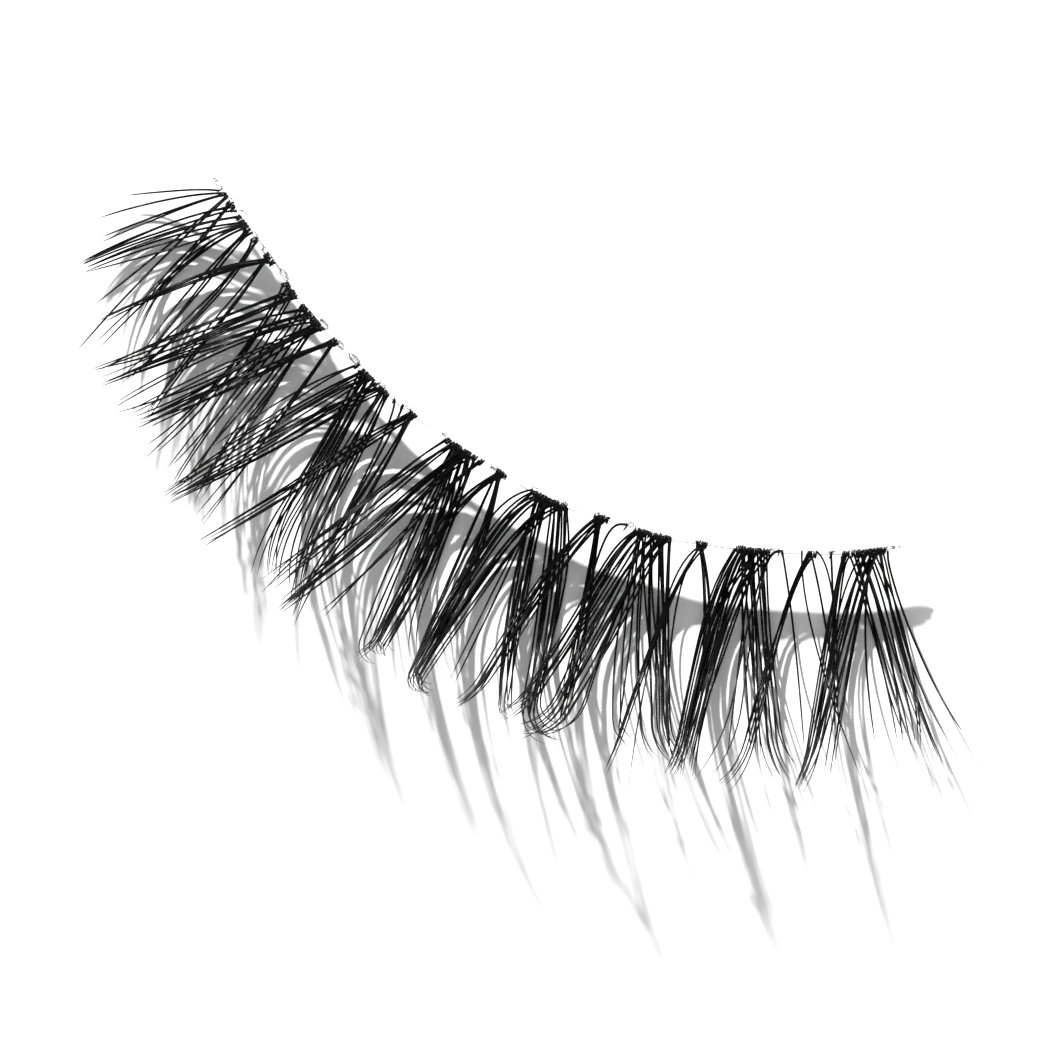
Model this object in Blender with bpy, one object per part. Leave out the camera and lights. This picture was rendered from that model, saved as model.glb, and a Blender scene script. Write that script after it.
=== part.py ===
"""A strip of false eyelashes lying on the bellies of its curled hairs, with the band raised and the tips up.

A thin clear band carries eighteen tufts. Each tuft is a fan of tapered locks fused to a flat root bar, and the
fans of neighbouring tufts cross one over the other. Everything is in metres and +Z is up.
"""

import math
from collections import namedtuple

import bmesh
import bpy
import numpy as np
from mathutils import Matrix, Vector

MM = 0.001

# The plan tables are written on a layout grid of 0.04 mm, x to the right and y towards the viewer.
GRID = 0.04 * MM
CHORD_MIDDLE = (559.0, 366.0)
CHORD_ANGLE = math.radians(27.97)

# Band: a clear ribbon standing on edge.
BAND_THICKNESS = 0.18 * MM
BAND_HEIGHT = 0.46 * MM
BAND_FACETS = 24
CURVE_STEPS = 12

# Root bars: the flat glued heads of the tufts, just clear of the band.
ROOT_GAP = 0.05 * MM
ROOT_DEPTH = 0.24 * MM
ROOT_HEIGHT = 0.40 * MM
ROOT_MARGIN = 0.10 * MM
ROOT_STEPS = 3

# Locks: tapered strands with flat oval sections.
LOCK_SIDES = 6
STATIONS_DOWN = 5
STATIONS_UP = 6
BELLY_SEARCH_STEPS = 100
BELLY_DISTANCE = 3.42 * MM
FULL_REACH = 5.8 * MM
WAIST_FRACTION = 0.08
TIP_TAPER_FROM = 0.90
TIP_END = 0.25
LOCK_HEIGHTS = ((0.0, 0.32 * MM), (0.15, 0.26 * MM), (0.6, 0.22 * MM), (1.0, 0.07 * MM))
# Locks that lean to the left ride over those that run straight out.
UPPER_LIFT = 0.34 * MM
LIFT_FULL_AT = 0.9 * MM
LAYER_LIFT = {"upper": UPPER_LIFT, "lower": 0.0}

SHARP_ANGLE = math.radians(40)

BandRow = namedtuple("BandRow", "x y underside_mm")
# The hair side of the band, from the outer end on the left to the right end.
BAND = (
    BandRow(212, 179, 1.47),
    BandRow(224, 197, 1.52),
    BandRow(244, 227, 1.57),
    BandRow(268, 259, 1.62),
    BandRow(298, 303, 1.72),
    BandRow(334, 343, 1.77),
    BandRow(374, 384, 1.82),
    BandRow(413, 417, 1.87),
    BandRow(458, 449, 1.83),
    BandRow(503, 476, 1.75),
    BandRow(553, 504, 1.68),
    BandRow(604, 520, 1.66),
    BandRow(654, 537, 1.64),
    BandRow(704, 546, 1.63),
    BandRow(755, 552, 1.58),
    BandRow(805, 555, 1.55),
    BandRow(850, 555, 1.49),
    BandRow(901, 549, 1.43),
)

LockRow = namedtuple(
    "LockRow", "tuft layer root_x root_y middle_x middle_y tip_x tip_y root_wide middle_wide tip_wide curl_mm"
)
# One row for each lock. The widths are across the lock, on the layout grid, and curl_mm is how high a lock of full
# reach curls up past its belly.
LOCKS = (
    LockRow(1, "upper", 223, 193, 160, 210, 98, 236, 8, 6, 5, 2.4),
    LockRow(2, "upper", 234, 208, 160, 229, 80, 262, 10, 8, 4, 2.2),
    LockRow(2, "lower", 231, 203, 180, 240, 112, 300, 6, 5, 5, 2.6),
    LockRow(3, "upper", 243, 224, 165, 243, 80, 273, 12, 9, 5, 2.4),
    LockRow(3, "lower", 249, 228, 196, 255, 131, 322, 10, 10, 7, 3.2),
    LockRow(3, "lower", 254, 241, 206, 303, 122, 380, 10, 10, 7, 3.2),
    LockRow(4, "upper", 271, 261, 185, 283, 100, 321, 8, 6, 5, 3.0),
    LockRow(4, "lower", 268, 256, 213, 328, 144, 416, 7, 7, 6, 3.5),
    LockRow(5, "upper", 295, 293, 200, 330, 96, 370, 12, 8, 4, 3.0),
    LockRow(5, "lower", 286, 285, 222, 376, 146, 446, 8, 8, 6, 3.8),
    LockRow(6, "upper", 309, 312, 210, 343, 104, 384, 14, 11, 5, 3.2),
    LockRow(6, "upper", 318, 323, 225, 373, 128, 412, 12, 14, 10, 3.2),
    LockRow(6, "lower", 306, 308, 240, 394, 165, 478, 12, 13, 9, 4.0),
    LockRow(6, "lower", 315, 320, 258, 405, 186, 492, 9, 10, 9, 4.0),
    LockRow(7, "upper", 338, 342, 237, 387, 142, 428, 8, 9, 6, 3.4),
    LockRow(7, "lower", 335, 338, 272, 430, 200, 520, 7, 7, 6, 4.2),
    LockRow(8, "upper", 362, 369, 287, 402, 215, 447, 8, 7, 5, 3.6),
    LockRow(8, "upper", 374, 384, 270, 438, 165, 499, 18, 16, 7, 3.6),
    LockRow(8, "lower", 366, 378, 315, 468, 254, 568, 14, 17, 15, 5.0),
    LockRow(8, "lower", 385, 394, 340, 478, 277, 590, 12, 14, 10, 5.0),
    LockRow(9, "upper", 416, 416, 305, 482, 202, 543, 8, 7, 5, 3.7),
    LockRow(9, "lower", 412, 411, 358, 510, 288, 612, 7, 8, 6, 5.4),
    LockRow(10, "upper", 452, 444, 365, 508, 268, 582, 12, 12, 8, 5.0),
    LockRow(10, "upper", 466, 455, 374, 535, 276, 608, 14, 14, 8, 5.0),
    LockRow(10, "upper", 478, 463, 402, 533, 320, 616, 6, 7, 5, 5.0),
    LockRow(10, "lower", 462, 450, 425, 550, 376, 652, 20, 22, 15, 6.0),
    LockRow(11, "upper", 505, 474, 430, 545, 366, 665, 9, 8, 5, 5.4),
    LockRow(11, "lower", 500, 471, 462, 580, 406, 684, 8, 8, 6, 6.1),
    LockRow(12, "upper", 541, 494, 478, 563, 403, 684, 12, 9, 5, 5.4),
    LockRow(12, "upper", 562, 504, 489, 578, 411, 694, 12, 11, 6, 5.4),
    LockRow(12, "lower", 546, 496, 516, 600, 502, 716, 14, 14, 11, 5.6),
    LockRow(12, "lower", 563, 504, 549, 610, 526, 733, 14, 18, 12, 5.6),
    LockRow(13, "upper", 605, 515, 533, 598, 455, 705, 10, 12, 8, 5.2),
    LockRow(13, "lower", 599, 513, 579, 625, 552, 735, 9, 10, 8, 5.4),
    LockRow(14, "upper", 640, 530, 590, 603, 522, 718, 14, 12, 9, 5.3),
    LockRow(14, "upper", 662, 535, 605, 625, 545, 737, 16, 17, 11, 5.3),
    LockRow(14, "lower", 637, 529, 627, 635, 621, 738, 6, 7, 6, 5.2),
    LockRow(14, "lower", 648, 531, 646, 640, 652, 752, 12, 12, 9, 5.2),
    LockRow(14, "lower", 664, 536, 662, 640, 667, 758, 12, 13, 10, 5.2),
    LockRow(15, "upper", 707, 541, 655, 645, 608, 775, 8, 7, 5, 5.0),
    LockRow(15, "lower", 701, 540, 702, 635, 688, 748, 7, 8, 5, 4.9),
    LockRow(16, "upper", 748, 547, 708, 650, 676, 774, 18, 18, 9, 4.7),
    LockRow(16, "upper", 766, 548, 724, 650, 696, 764, 12, 13, 8, 4.7),
    LockRow(16, "lower", 747, 547, 749, 650, 757, 754, 8, 7, 6, 4.8),
    LockRow(16, "lower", 762, 548, 763, 660, 778, 768, 12, 13, 10, 4.8),
    LockRow(17, "upper", 811, 550, 775, 655, 729, 782, 8, 9, 9, 4.3),
    LockRow(18, "upper", 849, 551, 831, 650, 802, 784, 9, 10, 5, 4.0),
    LockRow(18, "upper", 865, 550, 846, 650, 820, 782, 14, 13, 8, 4.0),
    LockRow(18, "lower", 857, 550, 884, 655, 900, 738, 10, 8, 5, 3.0),
    LockRow(18, "lower", 870, 550, 896, 645, 920, 744, 12, 12, 6, 3.0),
    LockRow(18, "lower", 882, 550, 912, 650, 944, 744, 6, 6, 6, 3.0),
)


def clear_scene():
    """Removes what the scene starts with."""
    for item in list(bpy.data.objects):
        bpy.data.objects.remove(item)


def plain_material(name, colour, roughness, transmission=0.0):
    """A Principled material of one colour."""
    material = bpy.data.materials.new(name)
    material.use_nodes = True
    shader = material.node_tree.nodes["Principled BSDF"]
    shader.inputs["Base Color"].default_value = (*colour, 1.0)
    shader.inputs["Roughness"].default_value = roughness
    shader.inputs["Transmission Weight"].default_value = transmission
    return material


def on_plan(x, y):
    """A layout point in metres, with X along the band's chord and Y towards the eyelid side."""
    across = x - CHORD_MIDDLE[0]
    down = y - CHORD_MIDDLE[1]
    turn_x, turn_y = math.cos(CHORD_ANGLE), math.sin(CHORD_ANGLE)
    return np.array((turn_x * across + turn_y * down, turn_y * across - turn_x * down)) * GRID


def smooth_line(points, count):
    """Count + 1 evenly spaced points of a Catmull-Rom curve through the given points."""
    ends = np.vstack((2 * points[0] - points[1], points, 2 * points[-1] - points[-2]))
    steps = np.linspace(0.0, 1.0, CURVE_STEPS, endpoint=False)[:, None]
    runs = []
    for before, start, end, after in zip(ends, ends[1:], ends[2:], ends[3:]):
        run = 2 * start + (end - before) * steps
        run = run + (2 * before - 5 * start + 4 * end - after) * steps**2
        runs.append((run + (3 * start - before - 3 * end + after) * steps**3) / 2)
    dense = np.vstack((*runs, points[-1:]))
    length = np.concatenate(((0.0,), np.cumsum(np.linalg.norm(np.diff(dense[:, :2], axis=0), axis=1))))
    wanted = np.linspace(0.0, length[-1], count + 1)
    return np.column_stack([np.interp(wanted, length, column) for column in dense.T])


class BandLine:
    """The hair side of the band: its points in plan and the height of the ribbon's middle."""

    def __init__(self):
        rows = np.array([(*on_plan(row.x, row.y), row.underside_mm * MM + BAND_HEIGHT / 2) for row in BAND])
        self.points = smooth_line(rows, BAND_FACETS)
        runs = np.diff(self.points[:, :2], axis=0)
        self.lengths = np.linalg.norm(runs, axis=1)
        self.along = runs / self.lengths[:, None]

    def nearest(self, point):
        """The place on the line nearest to a point, as (facet, part of the facet, distance)."""
        offsets = point - self.points[:-1, :2]
        parts = np.clip((offsets * self.along).sum(axis=1) / self.lengths, 0.0, 1.0)
        feet = self.points[:-1, :2] + self.along * (parts * self.lengths)[:, None]
        distances = np.linalg.norm(point - feet, axis=1)
        facet = int(np.argmin(distances))
        return facet, parts[facet], distances[facet]

    def place(self, travel):
        """(point with height, direction along, direction outwards to the hairs) at a distance along the line."""
        starts = np.concatenate(((0.0,), np.cumsum(self.lengths)))
        facet = int(np.clip(np.searchsorted(starts, travel) - 1, 0, BAND_FACETS - 1))
        point = self.points[facet] + (self.points[facet + 1] - self.points[facet]) * (
            (travel - starts[facet]) / self.lengths[facet]
        )
        middles = starts[:-1] + self.lengths / 2
        along = np.array([np.interp(travel, middles, column) for column in self.along.T])
        along = along / np.linalg.norm(along)
        return point, along, np.array((along[1], -along[0]))

    def travel(self, point):
        """How far along the line the place nearest to a point lies."""
        facet, part, _ = self.nearest(point)
        return self.lengths[:facet].sum() + part * self.lengths[facet]


def section(centre, side, up, half_side, half_up):
    """The placing of a unit ring as a cross-section, with its own X across and its own Y up."""
    side, up = Vector(side).normalized(), Vector(up).normalized()
    normal = side.cross(up)
    placing = Matrix((side * half_side, up * half_up, normal * half_up)).transposed().to_4x4()
    placing.translation = Vector(centre)
    return placing


def loft(name, sections, sides, square=False):
    """A closed mesh object extruded from section to section, starting from a capped ring."""
    ring = Matrix.Scale(math.sqrt(2), 4) @ Matrix.Rotation(math.pi / 4, 4, "Z") if square else Matrix.Identity(4)
    mesh = bmesh.new()
    bmesh.ops.create_circle(mesh, cap_ends=True, radius=1.0, segments=sides, matrix=sections[0] @ ring)
    cap = mesh.faces[:][0]
    inner = []
    for last, following in zip(sections, sections[1:]):
        grown = bmesh.ops.extrude_face_region(mesh, geom=[cap])
        cap = next(item for item in grown["geom"] if isinstance(item, bmesh.types.BMFace))
        bmesh.ops.transform(mesh, matrix=following @ last.inverted(), verts=cap.verts[:])
        inner.append(cap)
    bmesh.ops.delete(mesh, geom=inner[:-1], context="FACES_ONLY")
    bmesh.ops.recalc_face_normals(mesh, faces=mesh.faces[:])
    data = bpy.data.meshes.new(name)
    mesh.to_mesh(data)
    mesh.free()
    made = bpy.data.objects.new(name, data)
    bpy.context.scene.collection.objects.link(made)
    return made


def fuse(base, others):
    """Joins the other objects to the base with Boolean unions and removes them."""
    for other in others:
        joint = base.modifiers.new("union", "BOOLEAN")
        joint.operation = "UNION"
        joint.solver = "EXACT"
        joint.object = other
    graph = bpy.context.evaluated_depsgraph_get()
    fused = bpy.data.meshes.new_from_object(base.evaluated_get(graph))
    base.modifiers.clear()
    base.data = fused
    for other in others:
        bpy.data.objects.remove(other)


def make_band(line):
    """The clear ribbon, with its hair side on the line."""
    sections = []
    starts = np.concatenate(((0.0,), np.cumsum(line.lengths)))
    for travel in starts:
        point, _, outwards = line.place(travel)
        centre = (*(point[:2] - outwards * BAND_THICKNESS / 2), point[2])
        sections.append(section(centre, (*outwards, 0.0), (0, 0, 1), BAND_THICKNESS / 2, BAND_HEIGHT / 2))
    return loft("band", sections, 4, square=True)


def make_root_bar(line, number, rows):
    """The flat head of a tuft, as wide as the roots of its locks."""
    travels = [line.travel(on_plan(row.root_x, row.root_y)) for row in rows]
    halves = [row.root_wide * GRID / 2 for row in rows]
    first = min(travel - half for travel, half in zip(travels, halves)) - ROOT_MARGIN
    last = max(travel + half for travel, half in zip(travels, halves)) + ROOT_MARGIN
    sections = []
    for travel in np.linspace(first, last, ROOT_STEPS + 1):
        point, _, outwards = line.place(travel)
        centre = (*(point[:2] + outwards * (ROOT_GAP + ROOT_DEPTH / 2)), point[2])
        sections.append(section(centre, (*outwards, 0.0), (0, 0, 1), ROOT_DEPTH / 2, ROOT_HEIGHT / 2))
    return loft(f"tuft_{number:02d}", sections, 4, square=True)


def lock_path(row, root, fractions):
    """Plan points of a lock at the given parts of its length, bowed through its middle point."""
    middle, tip = on_plan(row.middle_x, row.middle_y), on_plan(row.tip_x, row.tip_y)
    part = np.asarray(fractions)[:, None]
    return root * (1 - part) * (1 - 2 * part) + middle * 4 * part * (1 - part) + tip * part * (2 * part - 1)


def band_distances(line, plan):
    """How far each plan point is from the band."""
    return np.array([line.nearest(point)[2] for point in plan])


def belly_fraction(row, line, root):
    """The part of the lock's length at which it has come down to its belly."""
    fractions = np.linspace(0.0, 1.0, BELLY_SEARCH_STEPS + 1)
    return float(np.interp(BELLY_DISTANCE, band_distances(line, lock_path(row, root, fractions)), fractions))


def lock_centres(row, line, root, root_height, fractions):
    """Centre points of a lock: down from the band to its belly, then up to its raised tip."""
    plan = lock_path(row, root, fractions)
    distances = band_distances(line, plan)
    down = np.clip(1 - distances / BELLY_DISTANCE, 0.0, 1.0)
    rise = np.clip(distances / BELLY_DISTANCE - 1, 0.0, None) * BELLY_DISTANCE / FULL_REACH
    curl = row.curl_mm * MM
    slope = 2 * root_height / BELLY_DISTANCE * down + 2 * curl / FULL_REACH * rise
    lift = LAYER_LIFT[row.layer] * np.hypot(1.0, slope) * np.clip(distances / LIFT_FULL_AT, 0.0, 1.0)
    thick = np.interp(fractions, *zip(*LOCK_HEIGHTS))
    heights = thick / 2 * (1 - down**2) + root_height * down**2 + curl * rise**2 + lift
    return np.column_stack((plan, heights))


def make_lock(line, row):
    """One tapered strand from inside the root bar to its tip."""
    point, along, outwards = line.place(line.travel(on_plan(row.root_x, row.root_y)))
    root = point[:2] + outwards * (ROOT_GAP + ROOT_DEPTH / 2)
    belly = belly_fraction(row, line, root)
    down = np.linspace(0.0, belly, STATIONS_DOWN)
    fractions = np.concatenate((down, np.linspace(belly, 1.0, STATIONS_UP + 1)[1:]))
    centres = lock_centres(row, line, root, point[2], fractions)
    waist = min(row.root_wide, row.middle_wide)
    spots = (0.0, WAIST_FRACTION, 0.5, TIP_TAPER_FROM, 1.0)
    wides = (row.root_wide, waist, row.middle_wide, row.tip_wide, row.tip_wide * TIP_END)
    across = np.interp(fractions, spots, wides) * GRID / 2
    thick = np.interp(fractions, *zip(*LOCK_HEIGHTS)) / 2
    tangents = np.gradient(centres, fractions, axis=0)
    sections = [section(centres[0], (*along, 0.0), (0, 0, 1), across[0], thick[0])]
    for centre, tangent, half_side, half_up in zip(centres[1:], tangents[1:], across[1:], thick[1:]):
        side = Vector((-tangent[1], tangent[0], 0.0))
        up = Vector(tangent).cross(side)
        sections.append(section(centre, side, up if up.z > 0 else -up, half_side, half_up))
    return loft("lock", sections, LOCK_SIDES)


def make_tuft(line, number):
    """A fan of locks fused to its root bar."""
    rows = [row for row in LOCKS if row.tuft == number]
    tuft = make_root_bar(line, number, rows)
    fuse(tuft, [make_lock(line, row) for row in rows])
    return tuft


def stand_on_origin(objects):
    """Moves everything so that the middle of its box is over the origin and its underside is at zero."""
    corners = np.array([vertex.co for item in objects for vertex in item.data.vertices])
    low, high = corners.min(axis=0), corners.max(axis=0)
    shift = Matrix.Translation((-(low[0] + high[0]) / 2, -(low[1] + high[1]) / 2, -low[2]))
    for item in objects:
        item.data.transform(shift)


def main():
    clear_scene()
    clear_plastic = plain_material("clear_band", (0.85, 0.86, 0.87), 0.25, transmission=0.9)
    black_fibre = plain_material("black_fibre", (0.012, 0.012, 0.013), 0.38)
    line = BandLine()
    band = make_band(line)
    band.data.materials.append(clear_plastic)
    tufts = [make_tuft(line, number) for number in sorted({row.tuft for row in LOCKS})]
    for tuft in tufts:
        tuft.data.materials.clear()
        tuft.data.materials.append(black_fibre)
        tuft.data.shade_smooth()
        tuft.data.set_sharp_from_angle(angle=SHARP_ANGLE)
    stand_on_origin([band, *tufts])


main()
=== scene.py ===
"""Looks of a strip of false eyelashes, strand by strand, on a clear band in bright studio light."""

import math
from collections import namedtuple

import bmesh
import bpy
import numpy as np
from bpy.props import FloatProperty, FloatVectorProperty, IntProperty, PointerProperty
from mathutils import Euler, Matrix, Vector, noise


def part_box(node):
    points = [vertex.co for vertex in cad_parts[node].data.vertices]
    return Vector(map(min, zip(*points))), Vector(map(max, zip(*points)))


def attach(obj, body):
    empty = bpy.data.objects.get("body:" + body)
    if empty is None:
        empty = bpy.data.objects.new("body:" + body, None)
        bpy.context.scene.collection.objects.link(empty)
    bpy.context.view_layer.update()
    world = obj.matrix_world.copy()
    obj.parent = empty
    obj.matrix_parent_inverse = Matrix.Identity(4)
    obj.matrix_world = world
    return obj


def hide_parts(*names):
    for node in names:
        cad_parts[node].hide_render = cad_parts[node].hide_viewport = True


bl_info = {
    "name": "False Eyelash Strip",
    "version": (1, 0, 0),
    "blender": (4, 5, 0),
    "location": "View3D > Sidebar > Lashes",
    "description": "Builds a strip of curled false eyelashes on a clear band",
    "category": "Object",
}

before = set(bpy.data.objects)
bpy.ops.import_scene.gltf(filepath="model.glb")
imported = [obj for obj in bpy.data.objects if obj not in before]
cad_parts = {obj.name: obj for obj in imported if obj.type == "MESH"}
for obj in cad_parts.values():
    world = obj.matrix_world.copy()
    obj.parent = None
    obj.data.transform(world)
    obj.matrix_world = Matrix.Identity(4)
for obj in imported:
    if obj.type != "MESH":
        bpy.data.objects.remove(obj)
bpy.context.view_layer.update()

MM = 0.001

# The plan tables are written on a layout grid of 0.04 mm, x to the right and y towards the viewer.
GRID = 0.04 * MM
CHORD_MIDDLE = (559.0, 366.0)
CHORD_ANGLE = math.radians(27.97)
LAYOUT_SIZE = 1063
CURVE_STEPS = 12
BAND_FACETS = 24

BAND_THICKNESS = 0.18 * MM
BAND_HEIGHT = 0.46 * MM

BandRow = namedtuple("BandRow", "x y underside_mm")
# The hair side of the band, from the outer end on the left to the right end.
BAND = (
    BandRow(212, 179, 1.47),
    BandRow(224, 197, 1.52),
    BandRow(244, 227, 1.57),
    BandRow(268, 259, 1.62),
    BandRow(298, 303, 1.72),
    BandRow(334, 343, 1.77),
    BandRow(374, 384, 1.82),
    BandRow(413, 417, 1.87),
    BandRow(458, 449, 1.83),
    BandRow(503, 476, 1.75),
    BandRow(553, 504, 1.68),
    BandRow(604, 520, 1.66),
    BandRow(654, 537, 1.64),
    BandRow(704, 546, 1.63),
    BandRow(755, 552, 1.58),
    BandRow(805, 555, 1.55),
    BandRow(850, 555, 1.49),
    BandRow(901, 549, 1.43),
)

CurlRow = namedtuple("CurlRow", "tuft upper_mm lower_mm")
# How high a strand of full reach curls up past its belly.
CURLS = (
    CurlRow(1, 2.4, 2.4),
    CurlRow(2, 2.2, 2.6),
    CurlRow(3, 2.4, 3.2),
    CurlRow(4, 3.0, 3.5),
    CurlRow(5, 3.0, 3.8),
    CurlRow(6, 3.2, 4.0),
    CurlRow(7, 3.4, 4.2),
    CurlRow(8, 3.6, 5.0),
    CurlRow(9, 3.7, 5.4),
    CurlRow(10, 5.0, 6.0),
    CurlRow(11, 5.4, 6.1),
    CurlRow(12, 5.4, 5.6),
    CurlRow(13, 5.2, 5.4),
    CurlRow(14, 5.3, 5.2),
    CurlRow(15, 5.0, 4.9),
    CurlRow(16, 4.7, 4.8),
    CurlRow(17, 4.3, 4.3),
    CurlRow(18, 4.0, 3.0),
)

Bundle = namedtuple(
    "Bundle",
    "tuft strands layer root_x root_y middle_x middle_y tip_x tip_y "
    "root_wide middle_wide tip_wide hook_deg hook_from",
)
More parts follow.
